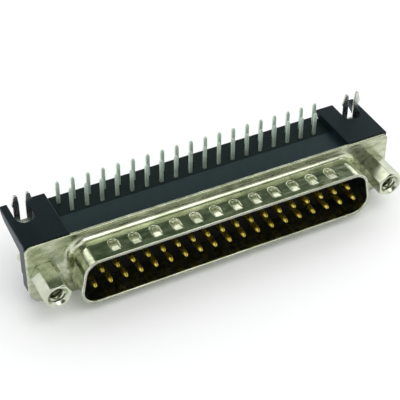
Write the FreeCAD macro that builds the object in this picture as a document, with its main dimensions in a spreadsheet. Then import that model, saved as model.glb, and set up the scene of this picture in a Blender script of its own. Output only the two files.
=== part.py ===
import FreeCAD, Part
import math
import os
import Sketcher

# Right-angle board connector: a 37-way D-shaped plug, in millimetres.
# It lies tails up. X runs along the length, -Y points out of the mating face and +Z
# points from the mating face's centre line to the printed board.
# The origin is the centre of the D on the front face of the metal flange.

# Driving dimensions, each one written once. Counts are whole numbers and the angle is in degrees.
DRIVING_SIZES = {
    # Contact rows: the long row lies away from the board, the short row next to it.
    "contact_pitch": 2.77,
    "row_spacing": 2.84,
    "long_row_count": 19,
    "short_row_count": 18,
    # One contact: a round pin, a retaining shoulder and a bent flat tail.
    "pin_diameter": 1.0,
    "pin_recess": 0.65,
    "shoulder_step": 0.3,
    "shoulder_length": 0.8,
    "tail_width": 0.62,
    "tail_thickness": 0.5,
    "tail_bend_radius": 0.9,
    "tail_tip_bevel": 0.16,
    "tail_rise": 3.2,
    "front_tail_distance": 7.2,
    "tail_row_spacing": 2.54,
    # Drawn metal shell with its flange. Margins are measured from the contacts, the D or the screws.
    "shell_end_margin": 2.78,
    "shell_row_margin": 2.76,
    "shell_side_angle": 10.0,
    "shell_corner_radius": 2.6,
    "shell_wall": 0.45,
    "shell_depth": 6.0,
    "shell_root_radius": 1.1,
    "screw_margin": 4.04,
    "flange_end_margin": 2.9,
    "flange_border": 2.07,
    "flange_top_radius": 1.2,
    "flange_bottom_radius": 3.0,
    "sheet_thickness": 0.5,
    # Grounding dimples pressed into the board side of the D.
    "dimple_count": 12,
    "dimple_margin": 7.11,
    "dimple_width": 1.55,
    "dimple_rear": 2.1,
    "dimple_length": 2.85,
    "dimple_depth": 0.42,
    # Front insulator inside the shell.
    "insulator_face": 1.0,
    "insulator_lip_side": 1.19,
    "insulator_lip_overlap": 0.65,
    "insulator_lip_thickness": 1.5,
    "face_recess_border": 0.195,
    "face_recess_height": 1.5,
    "face_recess_depth": 0.35,
    # Rear insulator behind it.
    "rear_block_side_inset": 0.11,
    "rear_block_inset": 0.88,
    "rear_block_depth": 3.2,
    # Bracket moulding: front plate, deck and two end blocks. The board rests on the blocks' tops.
    "seat_rise": 0.15,
    "bracket_base_inset": 0.25,
    "bracket_base_radius": 2.8,
    "bracket_plate_depth": 2.4,
    "bracket_tail_margin": 1.86,
    "block_shell_overlap": 1.11,
    "block_root_height": 2.9,
    "block_toe_height": 1.8,
    "block_tip_height": 0.8,
    "block_toe_length": 1.7,
    "block_edge_radius": 0.25,
    "end_relief_width": 1.1,
    "end_relief_depth": 0.4,
    "end_relief_height": 4.9,
    "deck_drop": 1.33,
    "deck_thickness": 1.6,
    "deck_tail_gap": 0.9,
    "notch_width": 3.3,
    "notch_lead": 2.05,
    "ledge_width": 1.2,
    "ledge_thickness": 0.9,
    "ledge_rib_width": 1.4,
    # Tail spacer between the end blocks.
    "spacer_thickness": 1.5,
    # Board locks: one bent metal strip at each end. Drops and rises are measured from the board seat.
    "lock_thickness": 0.4,
    "lock_bend_radius": 0.5,
    "lock_plate_border": 1.15,
    "lock_plate_top_border": 1.65,
    "lock_strip_drop": 2.25,
    "fork_offset": 0.8,
    "fork_slot_width": 1.15,
    "fork_slot_drop": 1.25,
    "fork_shoulder_rise": 1.7,
    "fork_barb_rise": 2.4,
    "fork_barb_reach": 0.3,
    "fork_tip_rise": 4.3,
    "fork_tip_width": 0.62,
    "fork_tip_gap": 1.5,
    "fork_tip_radius": 0.28,
    # Jackscrews and the nuts behind the bracket.
    "thread_diameter": 2.84,
    "screw_flats": 4.3,
    "screw_overhang": 0.28,
    "screw_neck_inset": 0.15,
    "screw_neck_length": 0.45,
    "screw_tip_inset": 0.05,
    "screw_tip_bevel": 0.55,
    "screw_mouth_ring": 0.25,
    "screw_mouth_depth": 0.55,
    "thread_depth": 5.0,
    "stud_end": 0.5,
    "stud_bevel": 0.3,
    "left_screw_turn": 59.0,
    "right_screw_turn": 25.0,
    "nut_wall": 0.9,
    "nut_thickness": 2.2,
    # Clearances: moulding in moulding or shell, contact in its hole, metal strip in its slot,
    # stud in its nut and stud in the flange.
    "moulding_clearance": 0.05,
    "contact_clearance": 0.04,
    "strip_clearance": 0.1,
    "thread_clearance": 0.03,
    "screw_hole_clearance": 0.13,
}

SIDES = {"left": -1, "right": 1}
X_AXIS = FreeCAD.Vector(1, 0, 0)
Y_AXIS = FreeCAD.Vector(0, 1, 0)
Z_AXIS = FreeCAD.Vector(0, 0, 1)
NEAR = 1e-4
OVERSHOOT = 1
BUMP_MARGIN = 0.1

document = FreeCAD.newDocument("board_plug")
sheet = document.addObject("Spreadsheet::Sheet", "Sizes")


class Size:
    """A size with its value and the sheet expression that gives it."""

    def __init__(self, value, text):
        self.value = value
        self.text = text

    def __add__(self, other):
        other = as_size(other)
        return Size(self.value + other.value, f"({self.text} + {other.text})")

    def __sub__(self, other):
        other = as_size(other)
        return Size(self.value - other.value, f"({self.text} - {other.text})")

    def __mul__(self, other):
        other = as_size(other)
        return Size(self.value * other.value, f"({self.text} * {other.text})")

    def __truediv__(self, other):
        other = as_size(other)
        return Size(self.value / other.value, f"({self.text} / {other.text})")

    def __neg__(self):
        return self * -1

    __radd__ = __add__
    __rmul__ = __mul__


def as_size(number):
    """Return a plain number as a Size, and a Size as it is."""
    if isinstance(number, Size):
        return number
    return Size(number, f"({number})")


def tangent(angle):
    """Return the tangent of an angle in degrees."""
    return Size(math.tan(math.radians(angle.value)), f"tan({angle.text})")


def cosine(angle):
    """Return the cosine of an angle in degrees."""
    return Size(math.cos(math.radians(angle.value)), f"cos({angle.text})")


def fill_sheet():
    """Write the driving dimensions into the sheet and return them as Size objects by name."""
    sizes = {}
    for row, (alias, value) in enumerate(DRIVING_SIZES.items(), start=1):
        sheet.set(f"A{row}", alias)
        sheet.set(f"B{row}", str(value))
        sheet.setAlias(f"B{row}", alias)
        sizes[alias] = Size(value, f"Sizes.{alias}")
    document.recompute()
    return sizes


D = fill_sheet()

# Places and sizes that several pieces share, worked out from the driving dimensions.
# The shell, the flange and the screws take their places from the contact rows.
LONG_ROW_Z = -D["row_spacing"] / 2
SHORT_ROW_Z = D["row_spacing"] / 2
SHELL_WIDTH = (D["long_row_count"] - 1) * D["contact_pitch"] + D["shell_end_margin"] * 2
SHELL_HEIGHT = D["row_spacing"] + D["shell_row_margin"] * 2
SCREW_X = SHELL_WIDTH / 2 + D["screw_margin"]
SCREW_HOLE = D["thread_diameter"] + D["screw_hole_clearance"] * 2
FLANGE_HALF_WIDTH = SCREW_X + D["flange_end_margin"]
FLANGE_HALF_HEIGHT = SHELL_HEIGHT / 2 + D["flange_border"]
FLANGE_BACK = D["sheet_thickness"]
DIMPLE_PITCH = (SHELL_WIDTH - D["dimple_margin"] * 2) / (D["dimple_count"] - 1)
PIN_HOLE = D["pin_diameter"] + D["contact_clearance"] * 2
PIN_FRONT = D["pin_recess"] - D["shell_depth"]
SHOULDER_DIAMETER = D["pin_diameter"] + D["shoulder_step"] * 2
LIP_HALF_WIDTH = SHELL_WIDTH / 2 + D["insulator_lip_side"]
LIP_BOTTOM = -(SHELL_HEIGHT / 2 + D["insulator_lip_overlap"])
LIP_TOP = SHELL_HEIGHT / 2 + D["insulator_lip_overlap"] / 2
LIP_BACK = FLANGE_BACK + D["insulator_lip_thickness"]
SHOULDER_FRONT = LIP_BACK - D["shoulder_length"]
REAR_BLOCK_HALF_WIDTH = SHELL_WIDTH / 2 - D["rear_block_side_inset"]
REAR_BLOCK_HALF_HEIGHT = SHELL_HEIGHT / 2 - D["rear_block_inset"]
REAR_BLOCK_BACK = LIP_BACK + D["rear_block_depth"]
LONG_TAIL_Y = D["front_tail_distance"] + D["tail_row_spacing"]
BOARD_SEAT = FLANGE_HALF_HEIGHT + D["seat_rise"]
BRACKET_BASE = D["bracket_base_inset"] - FLANGE_HALF_HEIGHT
PLATE_BACK = FLANGE_BACK + D["bracket_plate_depth"]
BRACKET_BACK = LONG_TAIL_Y + D["bracket_tail_margin"]
TOE_Y = BRACKET_BACK - D["block_toe_length"]
BLOCK_INNER = SHELL_WIDTH / 2 - D["block_shell_overlap"]
DECK_TOP = BOARD_SEAT - D["deck_drop"]
DECK_BOTTOM = DECK_TOP - D["deck_thickness"]
DECK_BACK = D["front_tail_distance"] - D["deck_tail_gap"]
LOCK_BACK = PLATE_BACK + D["lock_thickness"]
LOCK_WIDTH = D["notch_width"] - D["strip_clearance"] * 2
STRIP_BOTTOM = BOARD_SEAT - D["lock_strip_drop"]
STRIP_TOP = STRIP_BOTTOM + D["lock_thickness"]
FORK_Y = D["front_tail_distance"] + D["fork_offset"]


def bind(thing, path, size):
    """Tie a property to its sheet expression."""
    thing.setExpression(path, size.text)


def body_named(label):
    """Add an empty body whose label names its file."""
    body = document.addObject("PartDesign::Body", label)
    body.Label = label
    return body


def origin_plane(body, role):
    """Return the body's own origin plane of a role such as XY_Plane."""
    for feature in body.Origin.OriginFeatures:
        if feature.Role == role:
            return feature
    raise ValueError(role)


def sketch_on(body, role, name, offset=None):
    """Attach a sketch to an origin plane of the body, moved along the plane's normal."""
    sketch = body.newObject("Sketcher::SketchObject", name)
    sketch.AttachmentSupport = [(origin_plane(body, role), "")]
    sketch.MapMode = "FlatFace"
    if offset is not None:
        sketch.AttachmentOffset = FreeCAD.Placement(
            FreeCAD.Vector(0, 0, offset.value), FreeCAD.Rotation()
        )
        bind(sketch, "AttachmentOffset.Base.z", offset)
    return sketch


def face_sketch(body, name, y):
    """Sketch across the length and height at a distance y behind the flange's front face."""
    return sketch_on(body, "XZ_Plane", name, -y)


def place_point(sketch, geometry, position, x, y):
    """Hold a point of the sketch at x and y from its origin."""
    for kind, size in (("DistanceX", x), ("DistanceY", y)):
        index = sketch.addConstraint(
            Sketcher.Constraint(kind, -1, 1, geometry, position, size.value)
        )
        bind(sketch, f"Constraints[{index}]", size)


def draw_polygon(sketch, corners):
    """Draw a closed outline through the corners, each one held by its two sizes."""
    corners = [(as_size(x), as_size(y)) for x, y in corners]
    points = [FreeCAD.Vector(x.value, y.value, 0) for x, y in corners]
    first = sketch.GeometryCount
    for start, end in zip(points, points[1:] + points[:1]):
        sketch.addGeometry(Part.LineSegment(start, end), False)
    for step in range(len(points)):
        following = first + (step + 1) % len(points)
        sketch.addConstraint(Sketcher.Constraint("Coincident", first + step, 2, following, 1))
    for step, (x, y) in enumerate(corners):
        place_point(sketch, first + step, 1, x, y)


def draw_box(sketch, left, right, low, high):
    """Draw a rectangle from its four sides."""
    draw_polygon(sketch, [(left, low), (right, low), (right, high), (left, high)])


def draw_circle(sketch, x, y, diameter):
    """Draw a circle with its centre at x and y."""
    x, y = as_size(x), as_size(y)
    centre = FreeCAD.Vector(x.value, y.value, 0)
    normal = FreeCAD.Vector(0, 0, 1)
    circle = sketch.addGeometry(Part.Circle(centre, normal, diameter.value / 2), False)
    place_point(sketch, circle, 3, x, y)
    index = sketch.addConstraint(Sketcher.Constraint("Diameter", circle, diameter.value))
    bind(sketch, f"Constraints[{index}]", diameter)


def pad(body, sketch, length, name, reverse=False, both_ways=False):
    """Add material over a length, along the sketch's normal or against it."""
    feature = body.newObject("PartDesign::Pad", name)
    feature.Profile = sketch
    feature.Length = length.value
    bind(feature, "Length", length)
    feature.Reversed = reverse
    if both_ways:
        feature.SideType = "Symmetric"
    return feature


def pocket(body, sketch, name, length=None, reverse=False):
    """Cut over a length behind the sketch, or right through both ways, and return the cut."""
    feature = body.newObject("PartDesign::Pocket", name)
    feature.Profile = sketch
    feature.Reversed = reverse
    if length is None:
        feature.SideType = "Symmetric"
        feature.Type = "ThroughAll"
    else:
        feature.Length = length.value
        bind(feature, "Length", length)
    return feature


def repeat_along_x(body, feature, sketch, count, pitch):
    """Repeat a cut along X, with the copies a pitch apart."""
    pattern = body.newObject("PartDesign::LinearPattern", f"{feature.Name}_row")
    pattern.Originals = [feature]
    pattern.Direction = (sketch, ["H_Axis"])
    pattern.Mode = "Extent"
    span = (count - 1) * pitch
    pattern.Length = span.value
    bind(pattern, "Length", span)
    pattern.Occurrences = int(count.value)
    bind(pattern, "Occurrences", count)
    body.Tip = pattern
    return pattern


def edges_where(shape, test):
    """Name the edges of a shape that pass a test, leaving out a sphere's poles."""
    edges = enumerate(shape.Edges, start=1)
    return [f"Edge{n}" for n, edge in edges if not edge.Degenerated and test(edge)]


def runs_along(edge, axis):
    """Say whether a straight edge runs along an axis given as a vector."""
    if not isinstance(edge.Curve, Part.Line):
        return False
    return abs(abs(edge.tangentAt(edge.FirstParameter).dot(axis)) - 1) < 1e-6


def round_edges(body, base, test, radius, name, kind="Fillet"):
    """Fillet or chamfer the edges of a feature that pass a test."""
    document.recompute()
    feature = body.newObject(f"PartDesign::{kind}", name)
    feature.Base = (base, edges_where(base.Shape, test))
    size_name = "Radius" if kind == "Fillet" else "Size"
    setattr(feature, size_name, radius.value)
    bind(feature, size_name, radius)
    return feature


def near(value, target):
    """Say whether a number is a Size's value, to within a small tolerance."""
    return abs(value - target.value) < NEAR


def d_corners(offset):
    """Return the corners of the D, wide side down, moved outwards by an offset."""
    angle = D["shell_side_angle"]
    half_height = SHELL_HEIGHT / 2 + offset
    wide = SHELL_WIDTH / 2 + offset / cosine(angle) + offset * tangent(angle)
    narrow = wide - half_height * tangent(angle) * 2
    return [(wide, -half_height), (narrow, half_height), (-narrow, half_height), (-wide, -half_height)]


def draw_rounded_d(sketch, offset):
    """Draw the shell's D moved outwards by an offset, its corner arcs keeping their centres."""
    radius = D["shell_corner_radius"] + offset
    centres = d_corners(offset - radius)
    lean = math.radians(D["shell_side_angle"].value)
    turns = [-math.pi / 2, lean, math.pi / 2, math.pi - lean, 3 * math.pi / 2]
    arcs = []
    for (x, z), start, end in zip(centres, turns, turns[1:]):
        circle = Part.Circle(FreeCAD.Vector(x.value, z.value, 0), Z_AXIS, radius.value)
        arcs.append(Part.ArcOfCircle(circle, start, end))
    arc_numbers = [sketch.addGeometry(arc, False) for arc in arcs]
    for step, arc in enumerate(arcs):
        following = (step + 1) % len(arcs)
        side = Part.LineSegment(arc.EndPoint, arcs[following].StartPoint)
        line = sketch.addGeometry(side, False)
        sketch.addConstraint(Sketcher.Constraint("Tangent", arc_numbers[step], 2, line, 1))
        sketch.addConstraint(Sketcher.Constraint("Tangent", line, 2, arc_numbers[following], 1))
    for number, (x, z) in zip(arc_numbers, centres):
        place_point(sketch, number, 3, x, z)
        index = sketch.addConstraint(Sketcher.Constraint("Radius", number, radius.value))
        bind(sketch, f"Constraints[{index}]", radius)


def row_start(count):
    """Return the X of a row's first contact."""
    return -(count - 1) * D["contact_pitch"] / 2


CONTACT_ROWS = {
    "short": (D["short_row_count"], SHORT_ROW_Z, D["front_tail_distance"]),
    "long": (D["long_row_count"], LONG_ROW_Z, LONG_TAIL_Y),
}


def build_shell_blank():
    """Build the flange with the drawn D and its two screw holes, without the dimples."""
    body = body_named("shell_blank")
    flange = face_sketch(body, "flange_outline", as_size(0))
    draw_box(
        flange, -FLANGE_HALF_WIDTH, FLANGE_HALF_WIDTH, -FLANGE_HALF_HEIGHT, FLANGE_HALF_HEIGHT
    )
    plate = pad(body, flange, D["sheet_thickness"], "flange_plate", reverse=True)

    def flange_corner(sign):
        return lambda edge: runs_along(edge, Y_AXIS) and sign * edge.CenterOfMass.z > 0

    plate = round_edges(body, plate, flange_corner(1), D["flange_top_radius"], "flange_top_corners")
    plate = round_edges(
        body, plate, flange_corner(-1), D["flange_bottom_radius"], "flange_bottom_corners"
    )
    outside = face_sketch(body, "drawn_outline", as_size(0))
    draw_rounded_d(outside, D["shell_wall"])
    drawn = pad(body, outside, D["shell_depth"], "drawn_wall")

    def root_edge(edge):
        box = edge.BoundBox
        reach_x = max(abs(box.XMin), abs(box.XMax))
        reach_z = max(abs(box.ZMin), abs(box.ZMax))
        in_front_face = abs(box.YMin) < NEAR and abs(box.YMax) < NEAR
        inside_width = reach_x < FLANGE_HALF_WIDTH.value - NEAR
        inside_height = reach_z < FLANGE_HALF_HEIGHT.value - NEAR
        return in_front_face and inside_width and inside_height

    round_edges(body, drawn, root_edge, D["shell_root_radius"], "drawn_root")
    cavity = face_sketch(body, "cavity_outline", as_size(0))
    draw_rounded_d(cavity, as_size(0))
    pocket(body, cavity, "cavity")
    holes = face_sketch(body, "screw_hole_circles", as_size(0))
    for side in SIDES.values():
        draw_circle(holes, SCREW_X * side, 0, SCREW_HOLE)
    pocket(body, holes, "screw_holes")
    return body


def dimple_tool(x, depth_below_surface, margin):
    """Make one dimple's solid: round at the rear, its floor rising to the wall at the front.

    depth_below_surface moves the solid into the wall, and margin widens it all round.
    """
    surface = SHELL_HEIGHT.value / 2 + D["shell_wall"].value
    rear = -D["dimple_rear"].value + margin
    front = rear - D["dimple_length"].value - margin
    half_width = D["dimple_width"].value / 2 + margin
    depth = D["dimple_depth"].value
    top = surface - depth_below_surface
    slope = [(rear, top), (rear, top - depth), (front, top)]
    corners = [FreeCAD.Vector(x - half_width, y, z) for y, z in slope]
    wedge = Part.Face(Part.makePolygon(corners + corners[:1])).extrude(X_AXIS * 2 * half_width)
    height = depth + OVERSHOOT
    round_end = Part.makeCylinder(
        half_width, height, FreeCAD.Vector(x, rear - half_width, top - depth), Z_AXIS
    )
    straight = Part.makeBox(
        2 * half_width,
        rear - half_width - front,
        height,
        FreeCAD.Vector(x - half_width, front, top - depth),
    )
    return wedge.common(round_end.fuse(straight).removeSplitter())


def build_front_shell(blank):
    """Press the row of grounding dimples into the board side of the blank."""
    count = int(D["dimple_count"].value)
    start = -(count - 1) * DIMPLE_PITCH.value / 2
    places = [start + step * DIMPLE_PITCH.value for step in range(count)]
    bumps = document.addObject("Part::Feature", "dimple_bumps")
    wall = D["shell_wall"].value
    bumps.Shape = Part.makeCompound([dimple_tool(x, wall, BUMP_MARGIN) for x in places])
    hollows = document.addObject("Part::Feature", "dimple_hollows")
    hollows.Shape = Part.makeCompound([dimple_tool(x, 0, 0) for x in places])
    raised = document.addObject("Part::Fuse", "shell_with_bumps")
    raised.Base = blank
    raised.Tool = bumps
    shell = document.addObject("Part::Cut", "front_shell")
    shell.Base = raised
    shell.Tool = hollows
    shell.Label = "front_shell"
    return shell


def cut_round_holes(body, row, y, depth, diameter, name):
    """Cut one row of round holes that start at y and run towards +Y over a depth."""
    count, row_z, _ = CONTACT_ROWS[row]
    circle = face_sketch(body, f"{name}_circle", y)
    draw_circle(circle, row_start(count), row_z, diameter)
    hole = pocket(body, circle, name, depth)
    repeat_along_x(body, hole, circle, count, D["contact_pitch"])


def build_front_insulator():
    """Build the moulding that fills the D and carries the contacts by their shoulders."""
    body = body_named("front_insulator")
    clearance = D["moulding_clearance"]
    face_y = -D["insulator_face"]
    nose = face_sketch(body, "nose_outline", FLANGE_BACK)
    draw_rounded_d(nose, -clearance)
    pad(body, nose, FLANGE_BACK - face_y, "nose")
    lip = face_sketch(body, "lip_outline", FLANGE_BACK)
    draw_box(lip, -LIP_HALF_WIDTH, LIP_HALF_WIDTH, LIP_BOTTOM, LIP_TOP)
    pad(body, lip, D["insulator_lip_thickness"], "lip", reverse=True)

    seat_diameter = SHOULDER_DIAMETER + D["contact_clearance"] * 2
    for row in CONTACT_ROWS:
        cut_round_holes(body, row, face_y, LIP_BACK - face_y, PIN_HOLE, f"{row}_pin_holes")
        cut_round_holes(
            body, row, SHOULDER_FRONT, D["shoulder_length"], seat_diameter, f"{row}_seats"
        )

    count = D["short_row_count"] - 1
    recess = face_sketch(body, "face_recess_outline", face_y)
    middle = row_start(count)
    half_recess = (D["contact_pitch"] - PIN_HOLE) / 2 - D["face_recess_border"]
    low = SHORT_ROW_Z - D["face_recess_height"] / 2
    high = SHORT_ROW_Z + D["face_recess_height"] / 2
    draw_box(recess, middle - half_recess, middle + half_recess, low, high)
    recesses = pocket(body, recess, "face_recess", D["face_recess_depth"])
    repeat_along_x(body, recesses, recess, count, D["contact_pitch"])
    return body


def cut_tail_slots(body, row, sketch, centre, name, length=None):
    """Cut one row of rectangular slots for the tails, with the slot's centre in the sketch."""
    count, _, _ = CONTACT_ROWS[row]
    x = row_start(count)
    half_width = D["tail_width"] / 2 + D["contact_clearance"]
    half_thickness = D["tail_thickness"] / 2 + D["contact_clearance"]
    draw_box(
        sketch, x - half_width, x + half_width, centre - half_thickness, centre + half_thickness
    )
    slot = pocket(body, sketch, name, length)
    repeat_along_x(body, slot, sketch, count, D["contact_pitch"])


def build_rear_insulator():
    """Build the block that closes the contact seats and guides the tails out of the back."""
    body = body_named("rear_insulator")
    outline = face_sketch(body, "block_outline", LIP_BACK)
    half_width = REAR_BLOCK_HALF_WIDTH
    half_height = REAR_BLOCK_HALF_HEIGHT
    draw_box(outline, -half_width, half_width, -half_height, half_height)
    block = pad(body, outline, D["rear_block_depth"], "block", reverse=True)
    round_edges(
        body, block, lambda edge: runs_along(edge, Y_AXIS), D["block_edge_radius"], "block_corners"
    )
    for row, (_, row_z, _) in CONTACT_ROWS.items():
        sketch = face_sketch(body, f"{row}_slot_outline", LIP_BACK)
        cut_tail_slots(body, row, sketch, row_z, f"{row}_slots")
    return body


def add_bracket_plate(body):
    """Add the plate behind the flange, with its two lower corners rounded."""
    outline = face_sketch(body, "plate_outline", FLANGE_BACK)
    draw_box(outline, -FLANGE_HALF_WIDTH, FLANGE_HALF_WIDTH, BRACKET_BASE, DECK_TOP)
    plate = pad(body, outline, D["bracket_plate_depth"], "plate", reverse=True)
    round_edges(
        body,
        plate,
        lambda edge: runs_along(edge, Y_AXIS) and edge.CenterOfMass.z < 0,
        D["bracket_base_radius"],
        "plate_lower_corners",
    )


def add_end_block(body, name, side):
    """Add one end block, whose underside slopes up from the plate to its rear tip."""
    top = BOARD_SEAT
    plane_x = BLOCK_INNER if side > 0 else -FLANGE_HALF_WIDTH
    profile = sketch_on(body, "YZ_Plane", f"{name}_block_profile", plane_x)
    draw_polygon(
        profile,
        [
            (FLANGE_BACK, top - D["block_root_height"]),
            (PLATE_BACK, top - D["block_root_height"]),
            (TOE_Y, top - D["block_toe_height"]),
            (BRACKET_BACK, top - D["block_tip_height"]),
            (BRACKET_BACK, top),
            (FLANGE_BACK, top),
        ],
    )
    return pad(body, profile, FLANGE_HALF_WIDTH - BLOCK_INNER, f"{name}_block")


def add_spacer_ledge(body, name, side):
    """Add the rib under a block and its ledge, which carries one end of the tail spacer."""
    front = REAR_BLOCK_BACK + D["moulding_clearance"]
    top = DECK_TOP - D["spacer_thickness"]
    low = top - D["ledge_thickness"]
    ledge_end = (BLOCK_INNER - D["ledge_width"]) * side
    wall = BLOCK_INNER * side
    rib_side = (BLOCK_INNER + D["ledge_rib_width"]) * side
    outline = face_sketch(body, f"{name}_ledge_outline", front)
    draw_polygon(
        outline,
        [
            (ledge_end, low),
            (rib_side, low),
            (rib_side, DECK_TOP),
            (wall, DECK_TOP),
            (wall, top),
            (ledge_end, top),
        ],
    )
    pad(body, outline, TOE_Y - front, f"{name}_ledge", reverse=True)


def cut_lock_notch(body, name, side):
    """Cut the U-shaped notch for a board lock and the channel that leads its strip forward."""
    centre = SCREW_X * side
    half = D["notch_width"] / 2
    round_centre = FORK_Y - D["notch_lead"] + half
    opening = sketch_on(body, "XY_Plane", f"{name}_notch_box", BOARD_SEAT)
    draw_box(opening, centre - half, centre + half, round_centre, BRACKET_BACK + OVERSHOOT)
    pocket(body, opening, f"{name}_notch", D["block_root_height"] + OVERSHOOT)
    ending = sketch_on(body, "XY_Plane", f"{name}_notch_circle", BOARD_SEAT)
    draw_circle(ending, centre, round_centre, D["notch_width"])
    pocket(body, ending, f"{name}_notch_end", D["block_root_height"] + OVERSHOOT)
    channel = sketch_on(body, "XY_Plane", f"{name}_channel_outline", STRIP_TOP)
    draw_box(channel, centre - half, centre + half, PLATE_BACK, round_centre)
    pocket(body, channel, f"{name}_channel", D["block_root_height"] + OVERSHOOT)


def cut_end_relief(body, name, side):
    """Thin the outer edge of the plate below the block."""
    outer = (FLANGE_HALF_WIDTH + OVERSHOOT) * side
    inner = (FLANGE_HALF_WIDTH - D["end_relief_width"]) * side
    left, right = sorted((inner, outer), key=lambda size: size.value)
    outline = face_sketch(body, f"{name}_relief_outline", PLATE_BACK - D["end_relief_depth"])
    top = BRACKET_BASE + D["end_relief_height"]
    draw_box(outline, left, right, BRACKET_BASE - OVERSHOOT, top)
    pocket(body, outline, f"{name}_relief", D["end_relief_depth"] + OVERSHOOT)


def build_bracket():
    """Build the one-piece bracket: plate, deck and end blocks with their notches."""
    body = body_named("bracket")
    clearance = D["moulding_clearance"]
    add_bracket_plate(body)
    for name, side in SIDES.items():
        add_end_block(body, name, side)
    deck = face_sketch(body, "deck_outline", PLATE_BACK)
    draw_box(deck, -BLOCK_INNER, BLOCK_INNER, DECK_BOTTOM, DECK_TOP)
    pad(body, deck, DECK_BACK - PLATE_BACK, "deck", reverse=True)
    for name, side in SIDES.items():
        add_spacer_ledge(body, name, side)
        cut_lock_notch(body, name, side)
        cut_end_relief(body, name, side)

    lip_room = face_sketch(body, "lip_room_outline", FLANGE_BACK)
    half_lip = LIP_HALF_WIDTH + clearance
    draw_box(lip_room, -half_lip, half_lip, LIP_BOTTOM - clearance, LIP_TOP + clearance)
    pocket(body, lip_room, "lip_room", D["insulator_lip_thickness"])
    window = face_sketch(body, "window_outline", FLANGE_BACK)
    half_width = REAR_BLOCK_HALF_WIDTH + clearance
    half_height = REAR_BLOCK_HALF_HEIGHT + clearance
    draw_box(window, -half_width, half_width, -half_height, half_height)
    pocket(body, window, "window", D["bracket_plate_depth"])
    holes = face_sketch(body, "screw_hole_circles", FLANGE_BACK)
    for side in SIDES.values():
        draw_circle(holes, SCREW_X * side, 0, SCREW_HOLE)
    last = pocket(body, holes, "screw_holes", D["bracket_plate_depth"])

    def long_top_edge(edge):
        middle = edge.CenterOfMass
        on_top = near(edge.BoundBox.ZMin, BOARD_SEAT)
        outer_side = runs_along(edge, Y_AXIS) and near(abs(middle.x), FLANGE_HALF_WIDTH)
        inner_side = runs_along(edge, Y_AXIS) and near(abs(middle.x), BLOCK_INNER)
        return on_top and (outer_side or inner_side)

    round_edges(body, last, long_top_edge, D["block_edge_radius"], "block_top_edges")
    return body


def build_tail_spacer():
    """Build the slotted strip that holds the tails at their board spacing."""
    body = body_named("tail_spacer")
    clearance = D["moulding_clearance"]
    outline = sketch_on(body, "XY_Plane", "strip_outline", DECK_TOP)
    half_width = BLOCK_INNER - clearance
    draw_box(outline, -half_width, half_width, DECK_BACK + clearance, BRACKET_BACK)
    pad(body, outline, D["spacer_thickness"], "strip", reverse=True)
    for row, (_, _, tail_y) in CONTACT_ROWS.items():
        sketch = sketch_on(body, "XY_Plane", f"{row}_slot_outline", DECK_TOP)
        cut_tail_slots(body, row, sketch, tail_y, f"{row}_slots", D["spacer_thickness"] + OVERSHOOT)
    return body


def draw_pin_section(sketch):
    """Draw half of the turned part's section: ball end, pin and retaining shoulder."""
    radius = D["pin_diameter"] / 2
    shoulder = SHOULDER_DIAMETER / 2
    front = PIN_FRONT
    corners = [
        (front + radius, radius),
        (SHOULDER_FRONT, radius),
        (SHOULDER_FRONT, shoulder),
        (LIP_BACK, shoulder),
        (LIP_BACK, as_size(0)),
        (front, as_size(0)),
    ]
    points = [FreeCAD.Vector(y.value, z.value, 0) for y, z in corners]
    lines = [Part.LineSegment(start, end) for start, end in zip(points, points[1:])]
    numbers = [sketch.addGeometry(line, False) for line in lines]
    centre = FreeCAD.Vector(corners[0][0].value, 0, 0)
    circle = Part.Circle(centre, Z_AXIS, radius.value)
    ball = sketch.addGeometry(Part.ArcOfCircle(circle, math.pi / 2, math.pi), False)
    for line, following in zip(numbers, numbers[1:]):
        sketch.addConstraint(Sketcher.Constraint("Coincident", line, 2, following, 1))
    sketch.addConstraint(Sketcher.Constraint("Coincident", ball, 1, numbers[0], 1))
    sketch.addConstraint(Sketcher.Constraint("Coincident", ball, 2, numbers[-1], 2))
    for number, (y, z) in zip(numbers, corners):
        place_point(sketch, number, 1, y, z)
    place_point(sketch, numbers[-1], 2, *corners[-1])
    index = sketch.addConstraint(Sketcher.Constraint("Radius", ball, radius.value))
    bind(sketch, f"Constraints[{index}]", radius)


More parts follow.
